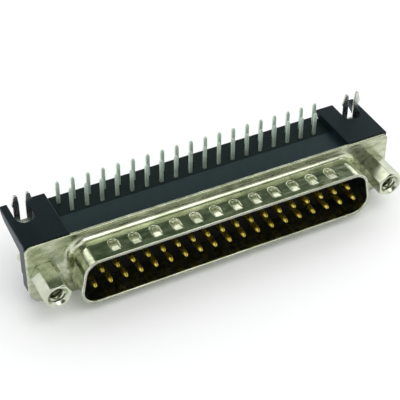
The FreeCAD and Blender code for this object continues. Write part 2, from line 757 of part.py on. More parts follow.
def build_contact(row, number):
    """Build one contact of a row: turned pin and shoulder in front, bent flat tail behind."""
    count, row_z, tail_y = CONTACT_ROWS[row]
    body = body_named(f"contact_{row}_{number + 1:02d}")
    outline = sketch_on(body, "YZ_Plane", "pin_outline")
    draw_pin_section(outline)
    pin = body.newObject("PartDesign::Revolution", "pin")
    pin.Profile = outline
    pin.ReferenceAxis = (outline, ["H_Axis"])
    pin.Angle = 360
    tip_z = BOARD_SEAT + D["tail_rise"] - row_z
    start_y = LIP_BACK - D["shoulder_length"] / 2
    half_thickness = D["tail_thickness"] / 2
    profile = sketch_on(body, "YZ_Plane", "tail_profile")
    draw_polygon(
        profile,
        [
            (start_y, -half_thickness),
            (tail_y + half_thickness, -half_thickness),
            (tail_y + half_thickness, tip_z),
            (tail_y - half_thickness, tip_z),
            (tail_y - half_thickness, half_thickness),
            (start_y, half_thickness),
        ],
    )
    tail = pad(body, profile, D["tail_width"], "tail", both_ways=True)

    def bend_edge(corner_y, corner_z):
        def on_corner(edge):
            middle = edge.CenterOfMass
            return near(middle.y, corner_y) and near(middle.z, corner_z)

        return lambda edge: runs_along(edge, X_AXIS) and on_corner(edge)

    for name, way in (("outer_bend", 1), ("inner_bend", -1)):
        offset = half_thickness * way
        corner = bend_edge(tail_y + offset, -offset)
        tail = round_edges(body, tail, corner, D["tail_bend_radius"] + offset, name)
    round_edges(
        body,
        tail,
        lambda edge: near(edge.BoundBox.ZMin, tip_z),
        D["tail_tip_bevel"],
        "tail_tip",
        kind="Chamfer",
    )
    place_x = row_start(count) + D["contact_pitch"] * number
    body.Placement = FreeCAD.Placement(
        FreeCAD.Vector(place_x.value, 0, row_z.value), FreeCAD.Rotation()
    )
    bind(body, "Placement.Base.x", place_x)
    bind(body, "Placement.Base.z", row_z)
    return body


def fork_outline():
    """Return the corners of the fork, one leg after the other, about its own centre line."""
    half_width = LOCK_WIDTH / 2
    half_slot = D["fork_slot_width"] / 2
    tip_inner = D["fork_tip_gap"] / 2
    tip_outer = tip_inner + D["fork_tip_width"]
    barb_z = BOARD_SEAT + D["fork_barb_rise"]
    tip_z = BOARD_SEAT + D["fork_tip_rise"]
    right_leg = [
        (half_width, BOARD_SEAT + D["fork_shoulder_rise"]),
        (half_width + D["fork_barb_reach"], barb_z),
        (tip_outer, tip_z),
        (tip_inner, tip_z),
        (half_slot, barb_z),
        (half_slot, BOARD_SEAT - D["fork_slot_drop"]),
    ]
    left_leg = [(-x, z) for x, z in reversed(right_leg)]
    return [(half_width, STRIP_BOTTOM)] + right_leg + left_leg + [(-half_width, STRIP_BOTTOM)]


def build_board_lock(name, side):
    """Build one board lock: a screw plate, a strip under the block and a barbed fork."""
    body = body_named(f"board_lock_{name}")
    thickness = D["lock_thickness"]
    outline = face_sketch(body, "fork_outline", FORK_Y)
    draw_polygon(outline, fork_outline())
    fork = pad(body, outline, thickness, "fork", reverse=True)

    def tip_corner(edge):
        on_tip = near(edge.CenterOfMass.z, BOARD_SEAT + D["fork_tip_rise"])
        return on_tip and runs_along(edge, Y_AXIS)

    round_edges(body, fork, tip_corner, D["fork_tip_radius"], "fork_tips")

    fork_back = FORK_Y + thickness
    plate_bottom = -(SCREW_HOLE / 2 + D["lock_plate_border"])
    strip = sketch_on(body, "YZ_Plane", "strip_profile")
    draw_polygon(
        strip,
        [
            (PLATE_BACK, plate_bottom),
            (LOCK_BACK, plate_bottom),
            (LOCK_BACK, STRIP_BOTTOM),
            (fork_back, STRIP_BOTTOM),
            (fork_back, STRIP_TOP),
            (PLATE_BACK, STRIP_TOP),
        ],
    )
    bent = pad(body, strip, LOCK_WIDTH, "strip", both_ways=True)

    def outer_bend(edge):
        box = edge.BoundBox
        front_top = near(box.YMax, PLATE_BACK) and near(box.ZMin, STRIP_TOP)
        rear_low = near(box.YMin, fork_back) and near(box.ZMax, STRIP_BOTTOM)
        return runs_along(edge, X_AXIS) and (front_top or rear_low)

    round_edges(body, bent, outer_bend, D["lock_bend_radius"], "bends")
    plate = face_sketch(body, "plate_outline", PLATE_BACK)
    plate_top = SCREW_HOLE / 2 + D["lock_plate_top_border"]
    draw_box(plate, plate_bottom, -plate_bottom, plate_bottom, plate_top)
    pad(body, plate, thickness, "plate", reverse=True)
    hole = face_sketch(body, "hole_circle", PLATE_BACK)
    draw_circle(hole, 0, 0, SCREW_HOLE)
    pocket(body, hole, "screw_hole", thickness)
    centre = SCREW_X * side
    body.Placement = FreeCAD.Placement(FreeCAD.Vector(centre.value, 0, 0), FreeCAD.Rotation())
    bind(body, "Placement.Base.x", centre)
    return body


def hexagon(flats):
    """Return the six corners of a hexagon with a flat on top, from its width across flats."""
    apothem = flats / 2
    corner = apothem / cosine(Size(30, "30"))
    half = corner / 2
    return [
        (corner, as_size(0)),
        (half, apothem),
        (-half, apothem),
        (-corner, as_size(0)),
        (-half, -apothem),
        (half, -apothem),
    ]


def turn_ring(body, corners, name, cut=False):
    """Turn an outline in the YZ plane about the piece's own axis, adding or cutting it."""
    outline = sketch_on(body, "YZ_Plane", f"{name}_outline")
    draw_polygon(outline, corners)
    kind = "Groove" if cut else "Revolution"
    feature = body.newObject(f"PartDesign::{kind}", name)
    feature.Profile = outline
    feature.ReferenceAxis = (outline, ["H_Axis"])
    feature.Angle = 360
    return feature


def build_jackscrew(name, side):
    """Build one jackscrew: hexagon with a threaded hole in front, threaded stud behind."""
    body = body_named(f"jackscrew_{name}")
    outline = face_sketch(body, "hexagon_outline", as_size(0))
    draw_polygon(outline, hexagon(D["screw_flats"]))
    reach = D["shell_depth"] + D["screw_overhang"]
    pad(body, outline, reach, "hexagon")
    stud = D["thread_diameter"] / 2
    stud_back = LOCK_BACK + D["nut_thickness"] + D["stud_end"]
    turn_ring(
        body,
        [
            (-D["screw_neck_length"], 0),
            (stud_back, 0),
            (stud_back, stud - D["stud_bevel"]),
            (stud_back - D["stud_bevel"], stud),
            (-D["screw_neck_length"], stud),
        ],
        "stud",
    )
    corner = D["screw_flats"]
    neck = D["screw_flats"] / 2 - D["screw_neck_inset"]
    turn_ring(
        body,
        [(0, neck), (0, corner), (-D["screw_neck_length"], corner)],
        "neck",
        cut=True,
    )
    tip = D["screw_flats"] / 2 - D["screw_tip_inset"]
    front = -reach
    rise = corner - tip
    turn_ring(
        body,
        [(front, tip), (front, corner), (front + rise * D["screw_tip_bevel"], corner)],
        "tip_bevel",
        cut=True,
    )
    mouth = tip - D["screw_mouth_ring"]
    turn_ring(
        body,
        [
            (front, 0),
            (front + D["thread_depth"], 0),
            (front + D["thread_depth"], stud),
            (front + D["screw_mouth_depth"], stud),
            (front, mouth),
        ],
        "threaded_hole",
        cut=True,
    )
    centre = SCREW_X * side
    turn = D[f"{name}_screw_turn"]
    body.Placement = FreeCAD.Placement(
        FreeCAD.Vector(centre.value, 0, 0), FreeCAD.Rotation(Y_AXIS, turn.value)
    )
    bind(body, "Placement.Base.x", centre)
    bind(body, "Placement.Rotation.Angle", turn)
    return body


def build_nut(name, side):
    """Build the hexagon nut that holds a jackscrew's stud behind the lock plate."""
    body = body_named(f"jackscrew_nut_{name}")
    outline = face_sketch(body, "hexagon_outline", LOCK_BACK)
    bore = D["thread_diameter"] + D["thread_clearance"] * 2
    draw_polygon(outline, hexagon(bore + D["nut_wall"] * 2))
    pad(body, outline, D["nut_thickness"], "hexagon", reverse=True)
    hole = face_sketch(body, "hole_circle", LOCK_BACK)
    draw_circle(hole, 0, 0, bore)
    pocket(body, hole, "threaded_hole", D["nut_thickness"])
    centre = SCREW_X * side
    body.Placement = FreeCAD.Placement(FreeCAD.Vector(centre.value, 0, 0), FreeCAD.Rotation())
    bind(body, "Placement.Base.x", centre)
    return body


def build_all():
    """Build every piece and return the ones that are written to files."""
    pieces = [
        build_front_shell(build_shell_blank()),
        build_front_insulator(),
        build_rear_insulator(),
        build_bracket(),
        build_tail_spacer(),
    ]
    for name, side in SIDES.items():
        pieces.append(build_board_lock(name, side))
        pieces.append(build_jackscrew(name, side))
        pieces.append(build_nut(name, side))
    for row, (count, _, _) in CONTACT_ROWS.items():
        for number in range(int(count.value)):
            pieces.append(build_contact(row, number))
    return pieces


def check_document(pieces):
    """Stop if an object failed or a piece has no valid single solid."""
    failed = [
        item.Name
        for item in document.Objects
        if "Invalid" in item.State or "Error" in item.State
    ]
    if failed:
        raise RuntimeError(f"failed objects: {failed}")
    for piece in pieces:
        shape = piece.Shape
        if shape.isNull() or not shape.isValid() or len(shape.Solids) != 1:
            raise RuntimeError(f"{piece.Label} is not one valid solid")


def main():
    """Build, check and write the pieces."""
    pieces = build_all()
    document.recompute()
    check_document(pieces)
    os.makedirs("parts", exist_ok=True)
    for piece in pieces:
        piece.Shape.exportStep(os.path.join("parts", f"{piece.Label}.step"))
        box = piece.Shape.BoundBox
        print(
            f"{piece.Label}: volume {piece.Shape.Volume:.2f},"
            f" x {box.XMin:.2f} {box.XMax:.2f},"
            f" y {box.YMin:.2f} {box.YMax:.2f},"
            f" z {box.ZMin:.2f} {box.ZMax:.2f}"
        )


main()
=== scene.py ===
"""Looks of a right-angle 37-way D-shaped plug for a printed board, lying tails up.

All lengths are in metres and in the frame of the solids: X along the connector, -Y out of
the mating face, +Z from the pins to the board.
"""
import logging
import math
from dataclasses import dataclass, field
from enum import Enum
from typing import Iterable

import bmesh
import bpy
from mathutils import Matrix, Vector


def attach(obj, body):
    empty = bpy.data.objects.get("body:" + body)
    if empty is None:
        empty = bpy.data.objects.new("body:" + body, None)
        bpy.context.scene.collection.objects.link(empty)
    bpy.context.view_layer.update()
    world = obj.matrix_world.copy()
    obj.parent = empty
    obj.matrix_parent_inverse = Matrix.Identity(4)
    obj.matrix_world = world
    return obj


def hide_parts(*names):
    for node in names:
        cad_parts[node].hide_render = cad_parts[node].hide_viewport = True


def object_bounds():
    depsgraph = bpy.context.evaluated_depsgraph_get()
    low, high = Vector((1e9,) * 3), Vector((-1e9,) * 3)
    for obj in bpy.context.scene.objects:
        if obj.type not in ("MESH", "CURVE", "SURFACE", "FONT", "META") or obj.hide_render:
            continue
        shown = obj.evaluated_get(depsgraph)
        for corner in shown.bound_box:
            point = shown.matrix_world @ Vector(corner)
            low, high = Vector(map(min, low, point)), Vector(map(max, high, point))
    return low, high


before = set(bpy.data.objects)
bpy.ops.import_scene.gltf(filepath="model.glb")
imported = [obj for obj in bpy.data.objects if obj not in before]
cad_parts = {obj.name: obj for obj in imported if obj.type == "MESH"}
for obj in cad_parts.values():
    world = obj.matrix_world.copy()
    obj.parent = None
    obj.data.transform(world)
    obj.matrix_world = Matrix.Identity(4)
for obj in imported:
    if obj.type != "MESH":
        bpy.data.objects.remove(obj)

Node = bpy.types.Node
Socket = bpy.types.NodeSocket
Tree = bpy.types.NodeTree
Material = bpy.types.Material
Mesh = bpy.types.Mesh
Object = bpy.types.Object
Span = tuple[float, float]
Triple = tuple[float, float, float]
Colour = Triple

CAD_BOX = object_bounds()
ROOT = "root"
MM = 0.001
MERGE_DISTANCE = 1e-7
SIDES = {"left": -1.0, "right": 1.0}

logging.basicConfig(level=logging.INFO, format="%(message)s")
log = logging.getLogger("board_plug")


class Slot(Enum):
    """Material slots of the record."""

    SHELL = "plated_shell"
    PLASTIC = "black_plastic"
    STRIP = "tinned_strip"
    SCREW = "plated_screw"
    CONTACT = "plated_contact"


class Row(Enum):
    """The two contact rows: the long one lies away from the board."""

    SHORT = "short"
    LONG = "long"


class NodeGraph:
    """A node tree that gets its nodes and links one by one."""

    def __init__(self, tree: Tree) -> None:
        """Keep the tree.

        Args:
            tree: A shader, world or geometry node tree.
        """
        self.tree = tree

    def add(self, kind: str, **settings: object) -> Node:
        """Add a node and set its properties.

        Args:
            kind: The node's type name.
            **settings: Property names and values.

        Returns:
            The new node.
        """
        node = self.tree.nodes.new(kind)
        for name, value in settings.items():
            setattr(node, name, value)
        return node

    def link(self, start: Socket, end: Socket) -> None:
        """Link two sockets.

        Args:
            start: The output socket.
            end: The input socket, which loses any older link.
        """
        self.tree.links.new(start, end)

    def combined(self, operation: str, first: Socket, second: Socket) -> Socket:
        """Work out one value from two.

        Args:
            operation: The maths node's operation.
            first: First value.
            second: Second value.

        Returns:
            The result.
        """
        node = self.add("ShaderNodeMath", operation=operation)
        self.link(first, node.inputs[0])
        self.link(second, node.inputs[1])
        return node.outputs[0]


class NodeBuilder(NodeGraph):
    """Builds the nodes of one material."""

    # Sockets of the Mix node in its colour mode: factor, both colours and the result.
    MIX_FACTOR, MIX_FIRST, MIX_SECOND, MIX_RESULT = 0, 6, 7, 2
    BEVEL_SAMPLES = 16
    # Depth behind the rim, over which the mask of its cut face fades.
    RIM_FADE = (0.02 * MM, 0.05 * MM)

    def __init__(self, name: str) -> None:
        """Start an empty material.

        Args:
            name: The material's name.
        """
        self.material = bpy.data.materials.new(name)
        self.material.use_nodes = True
        super().__init__(self.material.node_tree)
        self.tree.nodes.clear()
        self.output = self.add("ShaderNodeOutputMaterial")
        self.place = self.add("ShaderNodeTexCoord").outputs["Object"]

    def surface(self, shader: Socket) -> None:
        """Use a shader as the material's surface.

        Args:
            shader: The shader's output.
        """
        self.link(shader, self.output.inputs["Surface"])

    def along(self, axis: str) -> Socket:
        """Give one object coordinate.

        Args:
            axis: X, Y or Z.

        Returns:
            The coordinate in metres.
        """
        split = self.add("ShaderNodeSeparateXYZ")
        self.link(self.place, split.inputs["Vector"])
        return split.outputs[axis]

    def noise(self, scale: float, detail: float, stretch: Triple = (1.0, 1.0, 1.0)) -> Socket:
        """Add noise in object coordinates.

        Args:
            scale: Cells per metre.
            detail: Number of octaves.
            stretch: Scale of the coordinates before the noise.

        Returns:
            The noise value.
        """
        mapping = self.add("ShaderNodeMapping")
        mapping.inputs["Scale"].default_value = stretch
        self.link(self.place, mapping.inputs["Vector"])
        node = self.add("ShaderNodeTexNoise")
        node.inputs["Scale"].default_value = scale
        node.inputs["Detail"].default_value = detail
        self.link(mapping.outputs["Vector"], node.inputs["Vector"])
        return node.outputs["Fac"]

    def spread(self, value: Socket, low: float, high: float, edges: Span) -> Socket:
        """Map a value between two edges to a range.

        Args:
            value: Incoming value.
            low: Result at the first edge.
            high: Result at the second edge.
            edges: The two incoming edges.

        Returns:
            The mapped value.
        """
        node = self.add("ShaderNodeMapRange")
        node.inputs["From Min"].default_value = edges[0]
        node.inputs["From Max"].default_value = edges[1]
        node.inputs["To Min"].default_value = low
        node.inputs["To Max"].default_value = high
        self.link(value, node.inputs["Value"])
        return node.outputs["Result"]

    def mixed(self, factor: Socket, first: Colour | Socket, second: Colour | Socket) -> Socket:
        """Mix two colours, each a plain value or another node's result.

        Args:
            factor: Where the second colour shows.
            first: Colour at factor 0.
            second: Colour at factor 1.

        Returns:
            The mixed colour.
        """
        node = self.add("ShaderNodeMix", data_type="RGBA")
        self.link(factor, node.inputs[self.MIX_FACTOR])
        for colour, index in ((first, self.MIX_FIRST), (second, self.MIX_SECOND)):
            if isinstance(colour, tuple):
                node.inputs[index].default_value = (*colour, 1.0)
            else:
                self.link(colour, node.inputs[index])
        return node.outputs[self.MIX_RESULT]

    def bump(
        self, height: Socket, depth: float, strength: float, normal: Socket | None = None
    ) -> Socket:
        """Turn a height into a normal.

        Args:
            height: Height between 0 and 1.
            depth: Real depth in metres.
            strength: How far the normal follows the height.
            normal: Normal that is bent further.

        Returns:
            The bent normal.
        """
        node = self.add("ShaderNodeBump")
        node.inputs["Distance"].default_value = depth
        node.inputs["Strength"].default_value = strength
        self.link(height, node.inputs["Height"])
        if normal:
            self.link(normal, node.inputs["Normal"])
        return node.outputs["Normal"]

    def rounded(self, radius: float) -> Socket:
        """Round sharp edges in the shading.

        Args:
            radius: Radius that the sheen shows along sharp edges.

        Returns:
            The rounded normal.
        """
        edges = self.add("ShaderNodeBevel", samples=self.BEVEL_SAMPLES)
        edges.inputs["Radius"].default_value = radius
        return edges.outputs["Normal"]

    def cut_face(self, rim_y: float, normal: Socket, turn_edges: Span) -> Socket:
        """Find the sheet's cut edge, or its middle line, between its rounded corners, where a
        painted highlight or a painted dark reflection line goes.

        Args:
            rim_y: Place of the cut edge along Y.
            normal: The rounded normal.
            turn_edges: Cosines of the normal's turn at which the mask starts and is full.

        Returns:
            1 on the wanted strip and 0 elsewhere.
        """
        fade = (rim_y + self.RIM_FADE[0], rim_y + self.RIM_FADE[1])
        at_rim = self.spread(self.along("Y"), 1.0, 0.0, fade)
        true = self.add("ShaderNodeNewGeometry")
        turn = self.add("ShaderNodeVectorMath", operation="DOT_PRODUCT")
        self.link(normal, turn.inputs[0])
        self.link(true.outputs["True Normal"], turn.inputs[1])
        flat = self.spread(turn.outputs["Value"], 0.0, 1.0, turn_edges)
        return self.combined("MULTIPLY", at_rim, flat)

    def swell(self, edges: Span, depth: float, normal: Socket) -> Socket:
        """Let the drawn wall swell a little between two places along Y.

        Args:
            edges: Where the swelling starts and where it has its full height.
            depth: Full height in metres.
            normal: Normal that is bent further.

        Returns:
            The bent normal.
        """
        rise = self.add("ShaderNodeMapRange", interpolation_type="SMOOTHERSTEP")
        rise.inputs["From Min"].default_value = edges[0]
        rise.inputs["From Max"].default_value = edges[1]
        self.link(self.along("Y"), rise.inputs["Value"])
        return self.bump(rise.outputs["Result"], depth, 1.0, normal)


@dataclass(frozen=True)
class PlatedMetal:
    """A plated metal: two tones of the plating, a soft sheen and faint waves of the sheet.

    The rim, where the sheet is cut, gets a painted highlight: lighter than its faces, with a thin
    painted dark reflection line along it.
    """

    name: str
    light: Colour
    dark: Colour
    roughness: Span
    cloud_scale: float = 420.0
    cloud_detail: float = 4.0
    cloud_edges: Span = (0.35, 0.65)
    smear_factor: float = 2.3
    smear_detail: float = 5.0
    smear_edges: Span = (0.3, 0.7)
    wave_scale: float = 260.0
    wave_detail: float = 2.0
    wave_depth: float = 0.04 * MM
    wave_strength: float = 0.25
    grain_stretch: Triple = (1.0, 1.0, 1.0)
    wave_stretch: Triple = (1.0, 1.0, 1.0)
    edge_radius: float = 0.0
    swell_depth: float = 0.0
    swell_edges: Span = (-1.0 * MM, -2.3 * MM)
    rim_y: float | None = None
    # Painted highlight on the rim, and a painted dark reflection line along its middle.
    rim_highlight_tone: Colour = (0.88, 0.90, 0.81)
    rim_highlight_turn: Span = (0.80, 0.92)
    rim_dark_reflection_tone: Colour = (0.06, 0.07, 0.05)
    rim_dark_reflection_turn: Span = (0.975, 0.99)
    face_roughness: float = 0.0
    face_edges: Span = (-0.6 * MM, -0.1 * MM)

    def tone(self, build: NodeBuilder, edges: Socket | None) -> Socket:
        """Mix the plating's two tones and lay the rim's painted highlight and painted dark
        reflection line over them.

        Args:
            build: The material's node builder.
            edges: The rounded normal, if the metal has one.

        Returns:
            The metal's colour.
        """
        clouds = build.noise(self.cloud_scale, self.cloud_detail, self.grain_stretch)
        mask = build.spread(clouds, 0.0, 1.0, self.cloud_edges)
        tone = build.mixed(mask, self.dark, self.light)
        if edges is None or self.rim_y is None:
            return tone
        # Paint a highlight on the rim and a dark reflection line along its middle.
        rim = build.cut_face(self.rim_y, edges, self.rim_highlight_turn)
        line = build.cut_face(self.rim_y, edges, self.rim_dark_reflection_turn)
        return build.mixed(line, build.mixed(rim, tone, self.rim_highlight_tone), self.rim_dark_reflection_tone)

    def sheen(self, build: NodeBuilder) -> Socket:
        """Smear the roughness, and make the flange's face duller than the wall.

        Args:
            build: The material's node builder.

        Returns:
            The roughness.
        """
        scale = self.cloud_scale * self.smear_factor
        smears = build.noise(scale, self.smear_detail, self.grain_stretch)
        rough = build.spread(smears, *self.roughness, self.smear_edges)
        if self.face_roughness > 0.0:
            face = build.spread(build.along("Y"), 0.0, self.face_roughness, self.face_edges)
            rough = build.combined("ADD", rough, face)
        return rough

    def relief(self, build: NodeBuilder, edges: Socket | None) -> Socket:
        """Bend the normal by the sheet's waves and the drawn wall's swelling.

        Args:
            build: The material's node builder.
            edges: The rounded normal, if the metal has one.

        Returns:
            The bent normal.
        """
        waves = build.noise(self.wave_scale, self.wave_detail, self.wave_stretch)
        normal = build.bump(waves, self.wave_depth, self.wave_strength, edges)
        if self.swell_depth > 0.0:
            normal = build.swell(self.swell_edges, self.swell_depth, normal)
        return normal

    def shader(self, build: NodeBuilder) -> Node:
        """Build the metal's shader in a material.

        Args:
            build: The material's node builder.

        Returns:
            The Principled shader node.
        """
        shader = build.add("ShaderNodeBsdfPrincipled")
        shader.inputs["Metallic"].default_value = 1.0
        edges = build.rounded(self.edge_radius) if self.edge_radius > 0.0 else None
        build.link(self.tone(build, edges), shader.inputs["Base Color"])
        build.link(self.sheen(build), shader.inputs["Roughness"])
        build.link(self.relief(build, edges), shader.inputs["Normal"])
        return shader

    def material(self) -> Material:
        """Build the material.

        Returns:
            The finished material.
        """
        build = NodeBuilder(self.name)
        build.surface(self.shader(build).outputs["BSDF"])
        return build.material


@dataclass(frozen=True)
class MouldedPlastic:
    """Black glass-filled plastic: near black, a satin skin, fine grain and soft sink marks."""

    name: str = "black_moulded_plastic"
    deep: Colour = (0.002, 0.004, 0.006)
    worn: Colour = (0.004, 0.008, 0.011)
    roughness: Span = (0.38, 0.46)
    refraction: float = 1.55
    sheen_tint: Colour = (0.50, 0.86, 1.0)
    gloss: float = 0.50
    matt_gloss: float = 0.20
    matt_edges: Span = (5.7 * MM, 6.0 * MM)
    cloud_scale: float = 700.0
    cloud_detail: float = 4.0
    smear_scale: float = 1100.0
    smear_detail: float = 5.0
    smear_edges: Span = (0.3, 0.7)
    grain_scale: float = 9000.0
    grain_detail: float = 2.0
    grain_share: float = 0.06
    sink_scale: float = 160.0
    sink_detail: float = 1.0
    relief_depth: float = 0.06 * MM
    relief_strength: float = 0.12

    def relief(self, build: NodeBuilder) -> Socket:
        """Bend the normal by the grain and the sink marks.

        Args:
            build: The material's node builder.

        Returns:
            The bent normal.
        """
        height = build.add("ShaderNodeMath", operation="MULTIPLY_ADD")
        build.link(build.noise(self.grain_scale, self.grain_detail), height.inputs[0])
        height.inputs[1].default_value = self.grain_share
        build.link(build.noise(self.sink_scale, self.sink_detail), height.inputs[2])
        return build.bump(height.outputs[0], self.relief_depth, self.relief_strength)

    def material(self) -> Material:
        """Build the material: glossier low down, duller on the blocks' tops.

        Returns:
            The finished material.
        """
        build = NodeBuilder(self.name)
        shader = build.add("ShaderNodeBsdfPrincipled")
        shader.inputs["IOR"].default_value = self.refraction
        shader.inputs["Specular Tint"].default_value = (*self.sheen_tint, 1.0)
        gloss = build.spread(build.along("Z"), self.gloss, self.matt_gloss, self.matt_edges)
        build.link(gloss, shader.inputs["Specular IOR Level"])
        clouds = build.noise(self.cloud_scale, self.cloud_detail)
        build.link(build.mixed(clouds, self.deep, self.worn), shader.inputs["Base Color"])
        smears = build.noise(self.smear_scale, self.smear_detail)
        rough = build.spread(smears, *self.roughness, self.smear_edges)
        build.link(rough, shader.inputs["Roughness"])
        build.link(self.relief(build), shader.inputs["Normal"])
        build.surface(shader.outputs["BSDF"])
        return build.material


@dataclass(frozen=True)
class ContactPlating:
    """Gold on the pin and dull tin on the tail, with the border inside the plastic."""

    name: str = "gold_and_tin_contact"
    gold: PlatedMetal = field(
        default_factory=lambda: PlatedMetal(
            "gold",
            (1.0, 0.86, 0.22),
            (0.62, 0.46, 0.06),
            (0.20, 0.32),
            cloud_scale=2400.0,
            wave_scale=1500.0,
        )
    )
    tin: PlatedMetal = field(
        default_factory=lambda: PlatedMetal(
            "tin", (0.83, 0.95, 0.85), (0.65, 0.77, 0.67), (0.50, 0.66), wave_scale=900.0
        )
    )
    border_edges: Span = (1.9 * MM, 3.1 * MM)
    seam_spacing: float = 1.385 * MM
    seam_width: Span = (0.04 * MM, 0.08 * MM)
    seam_end: Span = (-4.9 * MM, -4.5 * MM)
    # Painted shade of the seam's slit: near-black gold.
    seam_shade_tone: Colour = (0.02, 0.015, 0.005)

    def seam(self, build: NodeBuilder) -> Socket:
        """Find the seam of each formed pin: an upright slit in its nose, not cut in the mesh,
        where its shade is painted as a dark line.

        Args:
            build: The material's node builder.

        Returns:
            1 in the slit and 0 elsewhere.
        """
        beside = build.add("ShaderNodeMath", operation="PINGPONG")
        build.link(build.along("X"), beside.inputs[0])
        beside.inputs[1].default_value = self.seam_spacing / 2.0
        narrow = build.spread(beside.outputs[0], 1.0, 0.0, self.seam_width)
        front = build.spread(build.along("Y"), 1.0, 0.0, self.seam_end)
        return build.combined("MULTIPLY", narrow, front)

    def material(self) -> Material:
        """Build the material.

        Returns:
            The finished material.
        """
        build = NodeBuilder(self.name)
        gold = self.gold.shader(build)
        tin = self.tin.shader(build)
        plated = gold.inputs["Base Color"].links[0].from_socket
        # Paint the slit's shade as a dark line down the gold nose.
        slit = build.mixed(self.seam(build), plated, self.seam_shade_tone)
        build.link(slit, gold.inputs["Base Color"])
        mix = build.add("ShaderNodeMixShader")
        build.link(build.spread(build.along("Y"), 0.0, 1.0, self.border_edges), mix.inputs["Fac"])
        build.link(gold.outputs["BSDF"], mix.inputs[1])
        build.link(tin.outputs["BSDF"], mix.inputs[2])
        build.surface(mix.outputs["Shader"])
        return build.material


@dataclass
class Finishes:
    """The finishes of the whole connector, one material each."""

    shell: PlatedMetal = field(
        default_factory=lambda: PlatedMetal(
            "nickel_plated_sheet",
            (0.70, 0.74, 0.56),
            (0.38, 0.42, 0.29),
            (0.08, 0.26),
            cloud_scale=800.0,
            wave_scale=420.0,
            wave_depth=0.03 * MM,
            grain_stretch=(0.4, 1.0, 1.0),
            wave_stretch=(0.2, 1.0, 1.0),
            edge_radius=0.5 * MM,
            swell_depth=0.08 * MM,
            # Place of the rim's painted highlight and painted dark reflection line.
            rim_y=-6.0 * MM,
            face_roughness=0.12,
        )
    )
    screw: PlatedMetal = field(
        default_factory=lambda: PlatedMetal(
            "nickel_plated_screw",
            (0.66, 0.70, 0.56),
            (0.50, 0.54, 0.42),
            (0.14, 0.28),
            wave_scale=600.0,
            wave_strength=0.06,
        )
    )
    strip: PlatedMetal = field(
        default_factory=lambda: PlatedMetal(
            "tinned_strip_metal",
            (0.80, 0.82, 0.78),
            (0.58, 0.60, 0.55),
            (0.16, 0.34),
            wave_scale=500.0,
        )
    )
    plastic: MouldedPlastic = field(default_factory=MouldedPlastic)
    insulator: MouldedPlastic = field(
        default_factory=lambda: MouldedPlastic(
            "black_insulator_plastic",
            deep=(0.004, 0.003, 0.003),
            worn=(0.010, 0.006, 0.005),
            roughness=(0.5, 0.65),
            gloss=0.12,
            matt_gloss=0.12,
        )
    )
    spacer: MouldedPlastic = field(
        default_factory=lambda: MouldedPlastic(
            "black_spacer_plastic",
            deep=(0.002, 0.005, 0.004),
            worn=(0.004, 0.011, 0.008),
            roughness=(0.5, 0.6),
            gloss=0.14,
            matt_gloss=0.14,
        )
    )
    contact: ContactPlating = field(default_factory=ContactPlating)
    made: dict[Slot, Material] = field(default_factory=dict)
    insulator_plastic: Material = field(init=False)
    spacer_plastic: Material = field(init=False)

    def build(self) -> None:
        """Make one material for each slot, and those of the two duller plastics."""
        makers = {
            Slot.SHELL: self.shell,
            Slot.SCREW: self.screw,
            Slot.STRIP: self.strip,
            Slot.PLASTIC: self.plastic,
            Slot.CONTACT: self.contact,
        }
        for slot, maker in makers.items():
            self.made[slot] = maker.material()
        self.insulator_plastic = self.insulator.material()
        self.spacer_plastic = self.spacer.material()

    @staticmethod
    def paint(piece: Object, material: Material) -> None:
        """Give a piece one material and no other.

        Args:
            piece: The mesh object.
            material: The material.
        """
        piece.data.materials.clear()
        piece.data.materials.append(material)

    def dress(self, piece: Object, slot: Slot) -> None:
        """Give a piece the material of a slot.

        Args:
            piece: The mesh object.
            slot: The record's material slot.
        """
        self.paint(piece, self.made[slot])


class Piece:
    """Helpers that turn meshes into finished pieces."""

    @staticmethod
    def from_mesh(name: str, mesh: Mesh) -> Object:
        """Link a new object for a mesh.

        Args:
            name: The piece's name.
            mesh: Its mesh, with its place in its points.

        Returns:
            The new object at the origin.
        """
        piece = bpy.data.objects.new(name, mesh)
        bpy.context.scene.collection.objects.link(piece)
        return piece

    @staticmethod
    def applied(piece: Object) -> Object:
        """Bake a piece's modifiers into its mesh and remove them.

        Args:
            piece: The object with live modifiers.

        Returns:
            The same object with a plain mesh.
        """
        bpy.context.view_layer.update()
        graph = bpy.context.evaluated_depsgraph_get()
        mesh = bpy.data.meshes.new_from_object(
            piece.evaluated_get(graph), preserve_all_data_layers=True, depsgraph=graph
        )
        mesh.name = piece.name
        old = piece.data
        piece.modifiers.clear()
        piece.data = mesh
        bpy.data.meshes.remove(old)
        return piece

    @staticmethod
    def settle(
        piece: Object, slot: Slot, finishes: Finishes, replaced: Iterable[str] = ()
    ) -> None:
        """Dress a new piece, let it ride on the root and report it.

        Args:
            piece: The finished object.
            slot: The record's material slot.
            finishes: The connector's finishes.
            replaced: CAD nodes that this piece stands for.
        """
        finishes.dress(piece, slot)
        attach(piece, ROOT)
        names = list(replaced)
        if names:
            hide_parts(*names)
        log.info("%s: %d faces, slot %s", piece.name, len(piece.data.polygons), slot.value)


